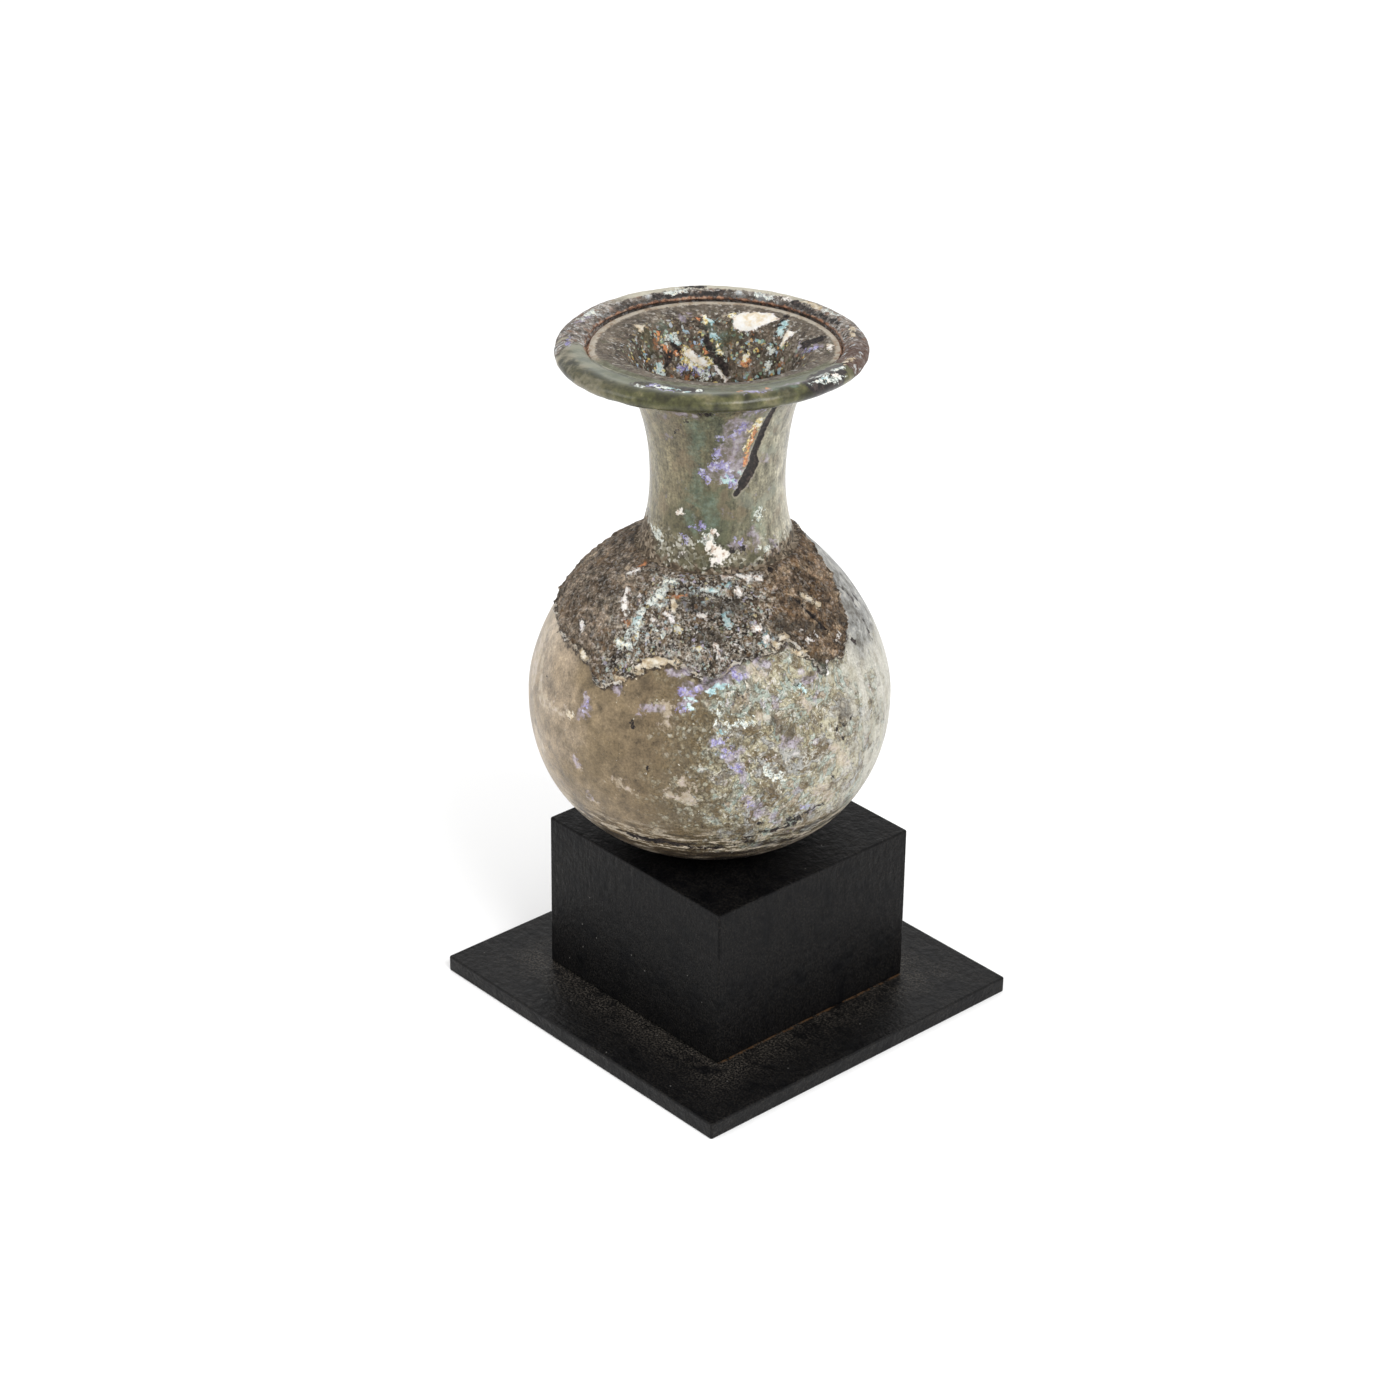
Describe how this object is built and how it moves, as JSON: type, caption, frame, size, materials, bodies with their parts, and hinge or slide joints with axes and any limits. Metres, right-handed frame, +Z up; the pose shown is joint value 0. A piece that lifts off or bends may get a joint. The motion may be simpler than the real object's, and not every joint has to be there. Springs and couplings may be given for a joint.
{
  "type": "roman glass bottle on a display stand",
  "caption": "Free-blown ancient glass bottle, weathered and iridescent, with a globular body, waisted neck and folded rim, standing on a black square block and plate.",
  "frame": {"origin": "centre of the stand plate's underside", "axes": "+Z up, X and Y along the sides of the square plate"},
  "size_m": [0.0762, 0.0762, 0.1344],
  "materials": {
    "glass": "weathered, with burial crust and iridescence",
    "block_paint": "satin black paint",
    "plate_paint": "satin black paint"
  },
  "bodies": {
    "root": {"stand_plate": "plate_paint", "stand_block": "block_paint", "bottle": "glass"}
  },
  "joints": []
}
